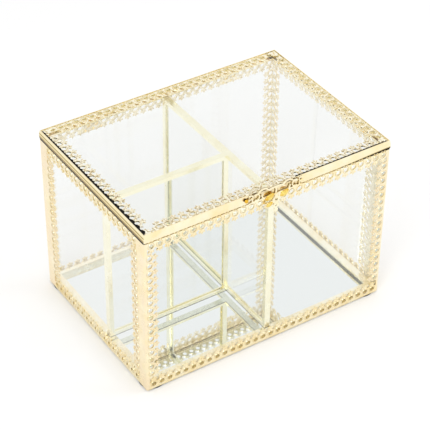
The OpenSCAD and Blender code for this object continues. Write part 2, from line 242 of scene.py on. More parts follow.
def level_face(tree):
    """1 on level faces, 0 on upright ones"""
    form = tree.nodes.new("ShaderNodeNewGeometry")
    split = tree.nodes.new("ShaderNodeSeparateXYZ")
    tree.links.new(form.outputs["True Normal"], split.inputs[0])
    return above(tree, reckon(tree, "ABSOLUTE", split.outputs["Z"]), LEVEL_SLOPE)


def upright_face(tree):
    """1 on upright faces, 0 on level ones"""
    return opposite(tree, level_face(tree))


print("masks ready")

# %% Places and colours
MIX_OUTSIDE, MIX_INSIDE, MIX_RESULT = 6, 7, 2  # the Mix node's colour sockets
half_width = -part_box("base_rail_left")[0].x
half_depth = -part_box("base_rail_front")[0].y


def coordinate(tree, axis):
    """One Object coordinate, in metres"""
    place = tree.nodes.new("ShaderNodeTexCoord")
    split = tree.nodes.new("ShaderNodeSeparateXYZ")
    tree.links.new(place.outputs["Object"], split.inputs[0])
    return split.outputs[axis]


def depth_inwards(tree):
    """Distance in metres inwards from the nearest of the box's four outer faces"""
    depths = [reckon(tree, "SUBTRACT", half, reckon(tree, "ABSOLUTE", coordinate(tree, axis)))
              for half, axis in ((half_width, "X"), (half_depth, "Y"))]
    return reckon(tree, "MINIMUM", *depths)


def where(tree, mask, inside, outside):
    """One colour where the mask is 1, another where it is 0; each is a colour or a socket"""
    choose = tree.nodes.new("ShaderNodeMix")
    choose.data_type = "RGBA"
    tree.links.new(mask, choose.inputs["Factor"])
    for value, number in ((outside, MIX_OUTSIDE), (inside, MIX_INSIDE)):
        if hasattr(value, "node"):
            tree.links.new(value, choose.inputs[number])
        else:
            choose.inputs[number].default_value = (*value, 1)
    return choose.outputs[MIX_RESULT]


def paint(tree, shader, colour):
    tree.links.new(colour, shader.inputs["Base Color"])


def cover_metal(tree, shader, mask, share=1):
    """Takes a share of the metal away where the mask is 1"""
    covered = reckon(tree, "MULTIPLY", mask, share)
    tree.links.new(opposite(tree, covered), shader.inputs["Metallic"])


print("half width and depth:", half_width, half_depth)

# %% [markdown]
# ## Pale gold
# The strips are brass with a thin champagne gold plating. Plating is never one colour: it
# is warmer where it is thicker, and the rolled strip under it leaves a faint waviness that
# breaks up reflections. So the colour wanders between close tones, the roughness wanders a
# little, and a shallow bump stands for the waviness. The same plating is used on every
# strip, and some strips then get a darker part by its place.

# %% Champagne gold
WARM_PLATING = (0.95, 0.80, 0.47)
PALE_PLATING = (0.98, 0.90, 0.66)
ROSE_PLATING = (0.97, 0.85, 0.64)
ROSE_MOST = 0.6
ROSE_SPREAD = (0.5, 0.7)
PLATING_SCALE = 60
ROSE_SCALE = 130
HAZE_SCALE = 220
ROLLED_SCALE = 500
ROLLED_DEPTH = 0.1 * mm
PLATED_ROUGHNESS = (0.16, 0.28)


def plating(tree):
    """The colour of the plating, wandering between pale, warm and rose"""
    cream = tones(tree, noise(tree, PLATING_SCALE), WARM_PLATING, PALE_PLATING)
    rose = tones(tree, noise(tree, ROSE_SCALE), 0, ROSE_MOST, *ROSE_SPREAD)
    return where(tree, rose, ROSE_PLATING, cream)


def plated(name):
    """Metal with the plating's haze and waviness, its colour still to be painted"""
    material, tree, shader = new_material(name)
    shader.inputs["Metallic"].default_value = 1
    between(tree, noise(tree, HAZE_SCALE), *PLATED_ROUGHNESS, shader.inputs["Roughness"])
    bumps(tree, shader, noise(tree, ROLLED_SCALE, detail=2), ROLLED_DEPTH)
    return material, tree, shader


def champagne_gold():
    material, tree, shader = plated("champagne_gold")
    paint(tree, shader, plating(tree))
    return material


gold = champagne_gold()
print("made", gold.name)

# %% [markdown]
# ## Strips of the body
# The inside of each strip is bonded to the glass with a clear adhesive, which is seen
# through the pane as a dull, slightly pink gold. On the left side and at the right end of
# the front, a black line of painted shadow for the gap under the lid lies on top of the rim.

# %% Strip gold
# Black painted shadow, used for the gap under the lid, below the band and beside the lid's lace
GAP_SHADOW = (0.012, 0.010, 0.008)
BONDED = (1.0, 0.92, 0.72)
THIN_GLUE = (0.80, 0.68, 0.45)
POST_ROSE = (0.93, 0.79, 0.57)
GLUE_SCALE = 420
GLUE_SPREAD = (0.38, 0.52)
GLUE_COVERS = 0.6
POST_SCALE = 70
POST_ROSE_MOST = 0.9
STRIP = 1 * mm
INNER_FACE = (0.9 * STRIP, 1.1 * STRIP)
LINE_WIDTH = 1.4 * STRIP
LINE_DEPTH = 0.1 * mm
FRONT_LINE_FROM = 70 * mm
rim_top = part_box("top_rim_front")[1].z


def strip_gold(name, rose_most):
    """Plating with some rose, glue on the inner face and a black painted shadow on top of the rim
    """
    material, tree, shader = plated(name)
    inside = both(tree, within(tree, depth_inwards(tree), *INNER_FACE), upright_face(tree))
    cover_metal(tree, shader, inside, GLUE_COVERS)
    left = below(tree, coordinate(tree, "X"), LINE_WIDTH - half_width)
    front = both(tree, below(tree, coordinate(tree, "Y"), LINE_WIDTH - half_depth),
                 above(tree, coordinate(tree, "X"), FRONT_LINE_FROM))
    # black painted shadow of the gap under the lid, on top of the rim
    line = both(tree, either(tree, left, front), level_face(tree),
                above(tree, coordinate(tree, "Z"), rim_top - LINE_DEPTH))
    rose = tones(tree, noise(tree, POST_SCALE), 0, rose_most)
    face = where(tree, rose, POST_ROSE, plating(tree))
    glue = tones(tree, noise(tree, GLUE_SCALE, detail=1), THIN_GLUE, BONDED, *GLUE_SPREAD)
    bonded = where(tree, inside, glue, face)
    paint(tree, shader, where(tree, line, GAP_SHADOW, bonded))
    return material


strips = strip_gold("strip_gold", 0)
posts = strip_gold("post_gold", POST_ROSE_MOST)
print("made", strips.name, "and", posts.name)

# %% [markdown]
# ## The lid's band
# The band is rolled, so its upper half looks at the sky and its lower edge curls under,
# towards the floor. The lower share of its height is painted darker, as painted shade and
# reflection. The left member has the most: painted brown along the roll's two valleys and
# black as a painted shadow of the gap below it. On the front member the black fades out from
# the right corner leftwards. On both, a black line of painted shadow lies beside the lace,
# where the band meets the lid's glass. All of it is painted, chosen by height and by depth.

# %% Band gold
# Painted shade and reflection: tans and browns low on the band and in the roll's valleys
SHADED_TAN = (0.86, 0.74, 0.44)
VALLEY_SHADE = (0.42, 0.29, 0.08)
LOWER_SHADE = (0.44, 0.31, 0.10)
ROLL_GOLD = (0.94, 0.83, 0.50)
LEFT_STOPS = ((0.0, GAP_SHADOW), (0.12, GAP_SHADOW), (0.15, LOWER_SHADE), (0.36, LOWER_SHADE),
              (0.42, ROLL_GOLD), (0.52, ROLL_GOLD), (0.57, VALLEY_SHADE),
              (0.67, VALLEY_SHADE), (0.73, ROLL_GOLD))
FRONT_STOPS = ((0.0, GAP_SHADOW), (0.14, GAP_SHADOW), (0.20, LOWER_SHADE), (0.27, SHADED_TAN),
               (0.40, PALE_PLATING))
OTHER_STOPS = ((0.0, SHADED_TAN), (0.06, SHADED_TAN), (0.08, PALE_PLATING))
LEFT_SHADED, FRONT_SHADED, OTHER_SHADED = 0.85, 0.4, 0.08
FRONT_FADE = (35 * mm, 115 * mm)
FRONT_SHADOWED_FROM = 22 * mm
SHADE_EDGE_SCALE = 90
SHADE_EDGE_WANDER = 0.5 * mm
OUTER_SKIN = 1.2 * mm
INNER_SKIN = 0.06 * mm
SHADOWED_BELOW, SHADOWED_ABOVE = 0.05 * mm, 0.4 * mm
band_low, band_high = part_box("lid_rim_front")
glass_low, glass_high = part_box("lid_pane")
band_wall = glass_low.x + half_width


def band_gold(name, stops, shaded_up_to, shadowed_from, fade=None):
    """Paints shade on the lower share of the height, plating above, a painted shadow behind the
    face
    """
    material, tree, shader = plated(name)
    height = coordinate(tree, "Z")
    wander = reckon(tree, "SUBTRACT", noise(tree, SHADE_EDGE_SCALE), 0.5)
    wander = reckon(tree, "MULTIPLY", wander, SHADE_EDGE_WANDER)
    share = rise(tree, reckon(tree, "ADD", height, wander), band_low.z, band_high.z)
    if fade:
        faded = opposite(tree, rise(tree, coordinate(tree, "X"), *fade))
        share = reckon(tree, "ADD", share, reckon(tree, "MULTIPLY", faded, shaded_up_to))
    depth = depth_inwards(tree)
    unshaded = either(tree, above(tree, share, shaded_up_to), above(tree, depth, OUTER_SKIN))
    # painted shade on the lower share of the outer face, by the stops
    shaded = where(tree, unshaded, plating(tree), bands(tree, share, stops))
    # black painted shadow on the inner face, beside the lid's glass and lace
    behind = both(tree, above(tree, depth, band_wall - INNER_SKIN),
                  within(tree, height, glass_low.z - SHADOWED_BELOW, glass_high.z + SHADOWED_ABOVE))
    shadowed = above(tree, coordinate(tree, "X"), shadowed_from)
    behind_colour = where(tree, shadowed, GAP_SHADOW, PALE_PLATING)
    paint(tree, shader, where(tree, behind, behind_colour, shaded))
    return material


band_left = band_gold("band_gold_left", LEFT_STOPS, LEFT_SHADED, -half_width)
band_front = band_gold("band_gold_front", FRONT_STOPS, FRONT_SHADED, FRONT_SHADOWED_FROM, FRONT_FADE)
band_other = band_gold("band_gold", OTHER_STOPS, OTHER_SHADED, half_width)
print("made", band_left.name, band_front.name, "and", band_other.name)

# %% [markdown]
# ## The lid's lace
# A black painted shadow, for the groove beside the band, lies over the beaded edge of the
# left strip, wider towards the front, and along the right part of the front strip. It ends in
# teeth, one for each bead.

# %% Lid lace gold
BEAD_PITCH = 3.85 * mm
TOOTH_SLOPE = 0.5
HOLLOW_BROWN = (0.55, 0.42, 0.22)
HOLLOW_OLIVE = (0.78, 0.62, 0.30)
LACE_CREAM = (0.99, 0.94, 0.76)
LACE_SPREAD = (0.36, 0.5)
GLUED_LACE = (0.98, 0.94, 0.66)
LACE_GLUE_COVERS = 0.7
UNDERSIDE_SKIN = 0.2 * mm
# Painted shadow on the lace's outer edge: its width at start and at stop, the axis and its span
SHADOW_LEFT = (2.5 * mm, 0.7 * mm, "Y", -half_depth, half_depth)
SHADOW_FRONT = (-2 * mm, 0.9 * mm, "X", 18 * mm, 26 * mm)
lace_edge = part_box("lid_lace_left")[0].x + half_width


def toothed_shadow(tree, shadow_start, shadow_stop, axis, start, stop):
    """1 on a toothed outer edge whose width changes from start to stop on an axis"""
    along = coordinate(tree, axis)
    width = reckon(tree, "MULTIPLY", rise(tree, along, start, stop), shadow_stop - shadow_start)
    width = reckon(tree, "ADD", width, shadow_start)
    tooth = reckon(tree, "PINGPONG", along, BEAD_PITCH / 2)
    tooth = reckon(tree, "MULTIPLY", tooth, TOOTH_SLOPE)
    reach = reckon(tree, "SUBTRACT", depth_inwards(tree), reckon(tree, "ADD", width, tooth))
    return below(tree, reach, lace_edge)


def shadow_over(tree, shadow_edge, colour):
    """The colour with black painted shadow on its toothed edge, if any is given"""
    return where(tree, toothed_shadow(tree, *shadow_edge), GAP_SHADOW, colour) if shadow_edge else colour


def lace_gold(name, hollow, shadow_edge=None):
    """Cream plating on top, painted shadow on its edge; the underside is bonded to the glass"""
    material, tree, shader = plated(name)
    under = below(tree, coordinate(tree, "Z"), glass_high.z + UNDERSIDE_SKIN)
    cover_metal(tree, shader, under, LACE_GLUE_COVERS)
    hollows = noise(tree, GLUE_SCALE, detail=1)
    top = shadow_over(tree, shadow_edge, tones(tree, hollows, hollow, LACE_CREAM, *LACE_SPREAD))
    paint(tree, shader, where(tree, under, GLUED_LACE, top))
    return material


lace_left = lace_gold("lace_gold_left", HOLLOW_BROWN, SHADOW_LEFT)
lace_front = lace_gold("lace_gold_front", HOLLOW_BROWN, SHADOW_FRONT)
lace_far = lace_gold("lace_gold_far", HOLLOW_OLIVE)
print("made", lace_left.name, lace_front.name, "and", lace_far.name)

# %% [markdown]
# ## Trims and channels
# The channels of the dividers are folded from a thinner strip whose plating is pale and a
# little green. The upright foot of each bottom channel and the lower half of the right floor
# trim's inner side are painted steel grey as painted shade. The outer sides of the floor trims
# are set in mastic, which is seen through the walls.

# %% Channel gold
# Grey painted shade, for the channels' feet and the right floor trim's inner side
SHADE_GREY = (0.22, 0.22, 0.19)
MASTIC = (0.96, 0.88, 0.66)
CREAM_PLATING = (1.0, 0.98, 0.84)
CREAM_LEAST, CREAM_MOST = 0.3, 0.8
GREEN_PALE = (0.97, 0.95, 0.76)
GREEN_WARM = (0.93, 0.88, 0.62)
CHANNEL_SCALE = 45
TRIM_OUTER_SIDE = 4.3 * mm
TRIM_INNER_SIDE = 6 * mm
BARE_FOOT = 0.9 * mm
UNDERSIDE_DEPTH = 0.1 * mm


def trim_gold(name, side_colour):
    """Cream top, a colour low on the inner side and mastic on the outer side"""
    material, tree, shader = plated(name)
    low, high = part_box("floor_trim_front")
    depth = depth_inwards(tree)
    outer = both(tree, upright_face(tree), below(tree, depth, TRIM_OUTER_SIDE))
    inner = both(tree, upright_face(tree), above(tree, depth, TRIM_INNER_SIDE),
                 below(tree, coordinate(tree, "Z"), (low.z + high.z) / 2))
    cover_metal(tree, shader, outer)
    cream = tones(tree, noise(tree, PLATING_SCALE), CREAM_LEAST, CREAM_MOST)
    top = where(tree, cream, CREAM_PLATING, plating(tree))
    paint(tree, shader, where(tree, outer, MASTIC, where(tree, inner, side_colour, top)))
    return material


def channel_gold():
    """Pale green plating, cream under the bottom channels and grey painted shade on their feet"""
    material, tree, shader = plated("channel_gold")
    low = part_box("long_channel_bottom")[0].z
    height = coordinate(tree, "Z")
    # grey painted shade along the foot of each bottom channel
    foot = both(tree, within(tree, height, low, low + BARE_FOOT), upright_face(tree))
    under = both(tree, below(tree, height, low + UNDERSIDE_DEPTH), level_face(tree))
    green = tones(tree, noise(tree, CHANNEL_SCALE), GREEN_WARM, GREEN_PALE)
    pale = where(tree, under, CREAM_PLATING, green)
    paint(tree, shader, where(tree, foot, SHADE_GREY, pale))
    return material


trim = trim_gold("trim_gold", CREAM_PLATING)
# the right trim's inner side takes grey painted shade
trim_right = trim_gold("trim_gold_right", SHADE_GREY)
channel = channel_gold()
print("made", trim.name, trim_right.name, "and", channel.name)

# %% [markdown]
# ## Amber gold
# The domed petals of the ornament have a deeper plating than the rest. The same way is
# used with a stronger yellow, orange in the hollows, and a smoother surface.

# %% Amber gold
AMBER_HOLLOW = (0.80, 0.48, 0.05)
AMBER_CROWN = (0.95, 0.80, 0.26)
AMBER_ROUGHNESS = (0.14, 0.24)
AMBER_SCALE = 260
AMBER_HAZE_SCALE = 400
AMBER_GRAIN_SCALE = 900
AMBER_GRAIN = 0.05 * mm


def amber_gold():
    material, tree, shader = new_material("amber_gold")
    shader.inputs["Metallic"].default_value = 1
    paint(tree, shader, tones(tree, noise(tree, AMBER_SCALE), AMBER_HOLLOW, AMBER_CROWN))
    between(tree, noise(tree, AMBER_HAZE_SCALE), *AMBER_ROUGHNESS, shader.inputs["Roughness"])
    bumps(tree, shader, noise(tree, AMBER_GRAIN_SCALE, detail=2), AMBER_GRAIN)
    return material


amber = amber_gold()
print("made", amber.name)

# %% [markdown]
# ## Clear glass
# Sheet glass 3 mm thick bends what is behind it a little and takes a little light away, so
# it is real refracting glass and not a see-through film. Light that is bent by many panes
# would hardly ever find the floor, so shadow rays, and rays that have already met several
# surfaces, meet a Transparent shader instead. Slight waves in the surface are far too small
# to see in the outline, so they are a bump. The ground edges of a pane are dull and green.

# %% Glass
DEEPEST_BEND = 3.5
GLASS_IOR = 1.5
POLISHED_GLASS = (0.955, 0.962, 0.956)
GROUND_GLASS = (0.52, 0.58, 0.50)
PASSED_LIGHT = (0.977, 0.981, 0.978)
GROUND_ROUGHNESS = 0.3
WAVE_SCALE = 9
WAVE_HEIGHT = 0.05 * mm
WAVE_STRENGTH = 0.1


def clear_glass():
    material, tree, shader = new_material("clear_glass")
    ground = tree.nodes.new("ShaderNodeAttribute")
    ground.attribute_name = "ground"
    edge = ground.outputs["Fac"]
    paint(tree, shader, where(tree, edge, GROUND_GLASS, POLISHED_GLASS))
    tree.links.new(reckon(tree, "MULTIPLY", edge, GROUND_ROUGHNESS), shader.inputs["Roughness"])
    shader.inputs["Transmission Weight"].default_value = 1
    shader.inputs["IOR"].default_value = GLASS_IOR
    bumps(tree, shader, noise(tree, WAVE_SCALE, detail=1), WAVE_HEIGHT, WAVE_STRENGTH)
    clear = tree.nodes.new("ShaderNodeBsdfTransparent")
    tree.links.new(where(tree, edge, GROUND_GLASS, PASSED_LIGHT), clear.inputs["Color"])
    path = tree.nodes.new("ShaderNodeLightPath")
    straight = either(tree, path.outputs["Is Shadow Ray"],
                      above(tree, path.outputs["Ray Depth"], DEEPEST_BEND))
    mix = tree.nodes.new("ShaderNodeMixShader")
    tree.links.new(straight, mix.inputs["Fac"])
    tree.links.new(shader.outputs["BSDF"], mix.inputs[1])
    tree.links.new(clear.outputs["BSDF"], mix.inputs[2])
    tree.links.new(mix.outputs["Shader"], tree.nodes["Material Output"].inputs["Surface"])
    return material


glass = clear_glass()
print("made", glass.name)

# %% [markdown]
# ## Mirror floor
# The floor is a mirror laid face up. A mirror is metal with almost no roughness; very
# faint smears of polish keep it from looking like a hole. Its edges are not silvered: they
# are coated with a yellow sealing lacquer, which shows through the rings of the rails.

# %% Mirror
SILVER = (0.85, 0.88, 0.88)
LACQUER = (0.95, 0.84, 0.50)
MIRROR_ROUGHNESS = (0.01, 0.04)
SMEAR_SCALE = 25
SMEAR_STRETCH = (1, 3, 1)


def mirror_plate():
    material, tree, shader = new_material("silvered_mirror")
    face = level_face(tree)
    paint(tree, shader, where(tree, face, SILVER, LACQUER))
    tree.links.new(face, shader.inputs["Metallic"])
    smears = noise(tree, SMEAR_SCALE, stretch=SMEAR_STRETCH)
    between(tree, smears, *MIRROR_ROUGHNESS, shader.inputs["Roughness"])
    return material


mirror = mirror_plate()
print("made", mirror.name)

# %% [markdown]
# ## Feet
# The pads are soft black rubber: almost no shine and a fine grain.

# %% Rubber
RUBBER_DARK = (0.012, 0.012, 0.012)
RUBBER_LIGHT = (0.03, 0.03, 0.03)
RUBBER_ROUGHNESS = 0.7
RUBBER_SCALE = 800
RUBBER_GRAIN_SCALE = 3000
RUBBER_GRAIN = 0.05 * mm


def foot_rubber():
    material, tree, shader = new_material("foot_rubber")
    paint(tree, shader, tones(tree, noise(tree, RUBBER_SCALE), RUBBER_DARK, RUBBER_LIGHT))
    shader.inputs["Roughness"].default_value = RUBBER_ROUGHNESS
    bumps(tree, shader, noise(tree, RUBBER_GRAIN_SCALE), RUBBER_GRAIN)
    return material


rubber = foot_rubber()
print("made", rubber.name)

# %% [markdown]
# ## Dressing the frame
# The record says which slot each node takes. Most nodes take their slot's finish as it is,
# and the strips with a finish of their own are listed by the start of their names. A later
# entry wins over an earlier one. The faces are left alone.

# %% Dress the nodes
finishes = {"champagne_gold": gold, "amber_gold": amber, "clear_glass": glass,
            "mirror": mirror, "rubber": rubber}
own_finish = {"corner_post": posts, "base_rail": strips, "top_rim": strips,
              "lid_rim": band_other, "lid_rim_left": band_left, "lid_rim_front": band_front,
              "lid_lace": lace_far, "lid_lace_left": lace_left, "lid_lace_front": lace_front,
              "floor_trim": trim, "floor_trim_right": trim_right,
              "long_channel": channel, "cross_channel": channel}
node_slot = {part["node"]: part["material_slot"] for part in frame["record"]["subparts"]}
for name, slot in node_slot.items():
    finish = finishes[slot]
    for start, special in own_finish.items():
        if name.startswith(start):
            finish = special
    data = nodes[name].data
    data.materials.clear()
    data.materials.append(finish)
print("dressed", len(nodes), "nodes")

# %% [markdown]
# ## Helpers for new pieces
# A new piece starts as a primitive and is shaped in edit mode, so three small helpers look
# after the selection, and a fourth ends each piece: it sets the name, the finish, the body
# that the piece moves with and the nodes that it stands for.

# %% Piece helpers
SMOOTH_UNDER = math.radians(50)


def deselect_all():
    bpy.ops.object.select_all(action="DESELECT")


def make_only(piece):
    deselect_all()
    piece.select_set(True)
    bpy.context.view_layer.objects.active = piece


def edit_all():
    bpy.ops.object.mode_set(mode="EDIT")
    bpy.ops.mesh.select_all(action="SELECT")


def settle(piece, name, body, slot, material, *stands_for):
    """Puts the piece's place in its mesh and hands it to the frame"""
    make_only(piece)
    bpy.ops.object.transform_apply(location=True, rotation=True, scale=True)
    piece.name = name
    piece.data.materials.clear()
    piece.data.materials.append(material)
    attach(piece, body)
    if stands_for:
        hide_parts(*stands_for)
    return piece


body_of_node = {node: name for name, members in frame["record"]["behaviour"]["bodies"].items()
                for node in members}
print("piece helpers ready")

# %% [markdown]
# ## Sheets of glass
# A real pane is cut a little smaller than its channel and its sharp edges are ground off
# with a stone. The frame's panes touch the metal exactly, which leaves no air for light to
# pass between glass and gold. Each pane is therefore made again as a slab that is a hair
# smaller, with a ground bevel along its edges. Light that leaves gold or paper in a corner
# of the box would meet pane after pane and die there, so only what looks at the glass
# straight or through other glass meets it.

# %% Panes
PANE_AIR = 0.04 * mm
GROUND_EDGE = 0.3 * mm
SHEET_FACE = 0.99


def sheet_of_glass(node):
    """Slab in a pane's place, with its bevels and edges marked as ground"""
    low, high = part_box(node)
    deselect_all()
    bpy.ops.mesh.primitive_cube_add(size=1, location=(low + high) / 2)
    pane = bpy.context.object
    pane.scale = high - low - 2 * Vector((PANE_AIR, PANE_AIR, PANE_AIR))
    bpy.ops.object.transform_apply(location=True, rotation=True, scale=True)
    edit_all()
    bpy.ops.mesh.bevel(offset=GROUND_EDGE, segments=1)
    bpy.ops.object.mode_set(mode="OBJECT")
    thin = min(range(3), key=lambda axis: high[axis] - low[axis])
    ground = pane.data.attributes.new("ground", "FLOAT", "FACE")
    for face in pane.data.polygons:
        ground.data[face.index].value = 0 if abs(face.normal[thin]) > SHEET_FACE else 1
    pane.visible_glossy = False
    pane.visible_diffuse = False
    pane.visible_shadow = False
    name = node.replace("_pane", "_glass")
    return settle(pane, name, body_of_node[node], "clear_glass", glass, node)


panes = [sheet_of_glass(node) for node in sorted(nodes) if node_slot[node] == "clear_glass"]
print("cut", len(panes), "panes")

# %% [markdown]
# ## Feet
# Soft rubber spreads under the weight of the glass, so each foot bulges past its own disc
# and its edges are round. From above, the bulge shows as a dark sliver under the corners.

# %% Round feet
BULGE = 2.1 * mm
FOOT_SIDES = 48
FOOT_ROUNDING = 0.5 * mm
ROUNDING_STEPS = 4


def soft_foot(node):
    low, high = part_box(node)
    deselect_all()
    bpy.ops.mesh.primitive_cylinder_add(vertices=FOOT_SIDES, radius=(high.x - low.x) / 2 + BULGE,
                                        depth=high.z - low.z, location=(low + high) / 2)
    foot = bpy.context.object
    edit_all()
    bpy.ops.mesh.bevel(offset=FOOT_ROUNDING, segments=ROUNDING_STEPS)
    bpy.ops.object.mode_set(mode="OBJECT")
    bpy.ops.object.shade_smooth_by_angle(angle=SMOOTH_UNDER)
    return settle(foot, node + "_pad", body_of_node[node], "rubber", rubber, node)


feet = [soft_foot(node) for node in sorted(nodes) if node_slot[node] == "rubber"]
print("moulded", len(feet), "feet")

# %% [markdown]
# ## Raised lace
# Lace edging is stamped between rollers, so every ring has a raised rim and every fleur has
# three raised lobes on a short stem; shade is painted dark around their feet. The frame's
# strips are cut flat. The relief of one motif is therefore modelled once, with few faces
# because it is repeated hundreds of times, and an Array modifier repeats it along each
# strip. Each point keeps its share of the full height in an attribute, which the finish
# reads to paint shade at the feet.

# %% Relief finish
# Painted shade at the feet of the raised lace, darkest on the lid's left and front
LID_FOOT_SHADE = (0.28, 0.19, 0.09)
LID_CROWN = (0.99, 0.96, 0.84)
FAR_FOOT_SHADE = (0.62, 0.45, 0.16)
BODY_FOOT_SHADE = (0.58, 0.44, 0.20)
PALE_CROWN = (0.98, 0.92, 0.70)
FOOT_TO_CROWN = (0.10, 0.42)
CROWN_MOST = 0.5
CROWN_SPREAD = (0.45, 0.7)


def relief_gold(name, foot_shade, crown_colour, shadow_edge=None):
    """Dark painted shade at the feet and pale crowns, by the height that each point keeps"""
    material, tree, shader = plated(name)
    height = tree.nodes.new("ShaderNodeAttribute")
    height.attribute_name = "raise"
    pale = tones(tree, noise(tree, ROSE_SCALE), 0, CROWN_MOST, *CROWN_SPREAD)
    crown = where(tree, pale, crown_colour, plating(tree))
    share = rise(tree, height.outputs["Fac"], *FOOT_TO_CROWN)
    paint(tree, shader, shadow_over(tree, shadow_edge, where(tree, share, crown, foot_shade)))
    return material


relief_left = relief_gold("relief_gold_left", LID_FOOT_SHADE, LID_CROWN, SHADOW_LEFT)
relief_front = relief_gold("relief_gold_front", LID_FOOT_SHADE, LID_CROWN, SHADOW_FRONT)
relief_far = relief_gold("relief_gold_far", FAR_FOOT_SHADE, PALE_CROWN)
relief_body = relief_gold("relief_gold_body", BODY_FOOT_SHADE, PALE_CROWN)
lid_relief = {"front": relief_front, "left": relief_left, "back": relief_far, "right": relief_far}
print("made", relief_body.name, "and", [m.name for m in lid_relief.values()])

# %% [markdown]
# Each row of the ring's profile is a radius in millimetres and a share of the full height.
# Each lobe is a place, two half sizes in millimetres and a lean in degrees.

# %% One motif
LACE_PITCH = 7.7 * mm
RING_HOLE = 2.2 * mm
RELIEF = 0.3 * mm
RING_SIDES = 12
RING_PROFILE = ((2.32, 0.5), (2.5, 1), (2.85, 1), (3.0, 0.1), (3.2, 0.03))
LOBE_SIDES = 6
LOBE_FOOT, LOBE_TOP = 1 * mm, 0.35 * mm
LOBES = ((0, 6.5, 0.6, 1.2, 0), (2.0, 5.4, 0.55, 1.0, -38), (-2.0, 5.4, 0.55, 1.0, 38),
         (0, 4.0, 0.9, 0.35, 0))


def raised_rim():
    """Ring rim: a circle extruded outwards through its profile"""
    radius, height = RING_PROFILE[0]
    deselect_all()
    bpy.ops.mesh.primitive_circle_add(vertices=RING_SIDES, radius=radius * mm,
                                      location=(0, 0, 0))
    rim = bpy.context.object
    edit_all()
    bpy.ops.transform.translate(value=(0, 0, height * RELIEF))
    for before, after in zip(RING_PROFILE, RING_PROFILE[1:]):
        growth = after[0] / before[0]
        bpy.ops.mesh.extrude_edges_move()
        bpy.ops.transform.resize(value=(growth, growth, 1))
        bpy.ops.transform.translate(value=(0, 0, (after[1] - before[1]) * RELIEF))
    bpy.ops.object.mode_set(mode="OBJECT")
    return rim


def raised_lobe(x, y, half_width_mm, half_length_mm, lean_deg):
    """Blunt cone stretched to the size of a lobe"""
    deselect_all()
    bpy.ops.mesh.primitive_cone_add(vertices=LOBE_SIDES, radius1=LOBE_FOOT, radius2=LOBE_TOP,
                                    depth=RELIEF, end_fill_type="NGON",
                                    location=(x * mm, y * mm, RELIEF / 2),
                                    rotation=(0, 0, math.radians(lean_deg)))
    lobe = bpy.context.object
    lobe.scale = (half_width_mm, half_length_mm, 1)
    bpy.ops.object.transform_apply(location=True, rotation=True, scale=True)
    return lobe


def lace_motif():
    """Rim and lobes in one mesh that keeps each point's share of the height"""
    parts = [raised_rim()] + [raised_lobe(*lobe) for lobe in LOBES]
    deselect_all()
    for part in parts:
        part.select_set(True)
    bpy.context.view_layer.objects.active = parts[0]
    bpy.ops.object.join()
    joined = bpy.context.object
    edit_all()
    bpy.ops.mesh.normals_make_consistent(inside=False)
    bpy.ops.object.mode_set(mode="OBJECT")
    bpy.ops.object.shade_smooth_by_angle(angle=SMOOTH_UNDER)
    height = joined.data.attributes.new("raise", "FLOAT", "POINT")
    for point in joined.data.vertices:
        height.data[point.index].value = point.co.z / RELIEF
    return joined


motif = lace_motif()
print("motif faces:", len(motif.data.polygons))

# %% [markdown]
# Every side is a corner to start from, the way along it, the way inwards and its length.
# The plain bands of the posts, in millimetres, are wider on the left and right sides.

# %% Where the strips run
UP = Vector((0, 0, 1))
SIDES = {
    "front": (Vector((-half_width, -half_depth, 0)), Vector((1, 0, 0)), Vector((0, 1, 0)),
              2 * half_width),
    "back": (Vector((half_width, half_depth, 0)), Vector((-1, 0, 0)), Vector((0, -1, 0)),
             2 * half_width),
    "left": (Vector((-half_width, half_depth, 0)), Vector((0, -1, 0)), Vector((1, 0, 0)),
             2 * half_depth),
    "right": (Vector((half_width, -half_depth, 0)), Vector((0, 1, 0)), Vector((-1, 0, 0)),
              2 * half_depth)}
BAND_AT_START = {"front": 2.8, "back": 2.8, "left": 12, "right": 19}
BAND_AT_END = {"front": 2.8, "back": 2.8, "left": 12, "right": 2.8}
RING_PAST_BAND = 2.2
POST_START = 13.5 * mm
POST_STOP = 12 * mm
RAIL_RING = 5 * mm
RIM_RING = 4 * mm
LID_RING = 3.5 * mm


def relief_strip(name, node, material, corner, along, inwards, out, length, ring, skip=0):
    """Raised motifs from a corner: along the strip, ring centres at a depth inwards"""
    count = round(length / LACE_PITCH)
    pitch = length / count
    deselect_all()
    strip = motif.copy()
    strip.data = motif.data.copy()
    scene.collection.objects.link(strip)
    make_only(strip)
    repeat = strip.modifiers.new("repeat", "ARRAY")
    repeat.count = count - 2 * skip
    repeat.use_relative_offset = False
    repeat.use_constant_offset = True
    repeat.constant_offset_displace = (pitch, 0, 0)
    bpy.ops.object.modifier_apply(modifier=repeat.name)
    first = corner + along * pitch * (skip + 0.5) + inwards * ring
    turn_to = Matrix((along, inwards, out)).transposed().to_4x4()
    strip.matrix_world = Matrix.Translation(first) @ turn_to
    bpy.ops.object.transform_apply(location=True, rotation=True, scale=True)
    edit_all()
    bpy.ops.mesh.normals_make_consistent(inside=False)
    if along.cross(inwards).dot(out) < 0:
        bpy.ops.mesh.flip_normals()
    bpy.ops.object.mode_set(mode="OBJECT")
    return settle(strip, name, body_of_node[node], "champagne_gold", material)


print("sides:", ", ".join(SIDES))

# %% Relief on the rails and rims
base_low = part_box("base_rail_front")[0].z
relief = []
for side, (corner, along, inwards, span) in SIDES.items():
    start = BAND_AT_START[side] * mm
    length = span - start - BAND_AT_END[side] * mm
    foot = corner + along * start
    relief.append(relief_strip("relief_base_" + side, "base_rail_" + side, relief_body,
                               foot + UP * base_low, along, UP, -inwards, length, RAIL_RING))
    relief.append(relief_strip("relief_rim_" + side, "top_rim_" + side, relief_body,
                               foot + UP * rim_top, along, -UP, -inwards, length, RIM_RING))
print("strips so far:", len(relief))

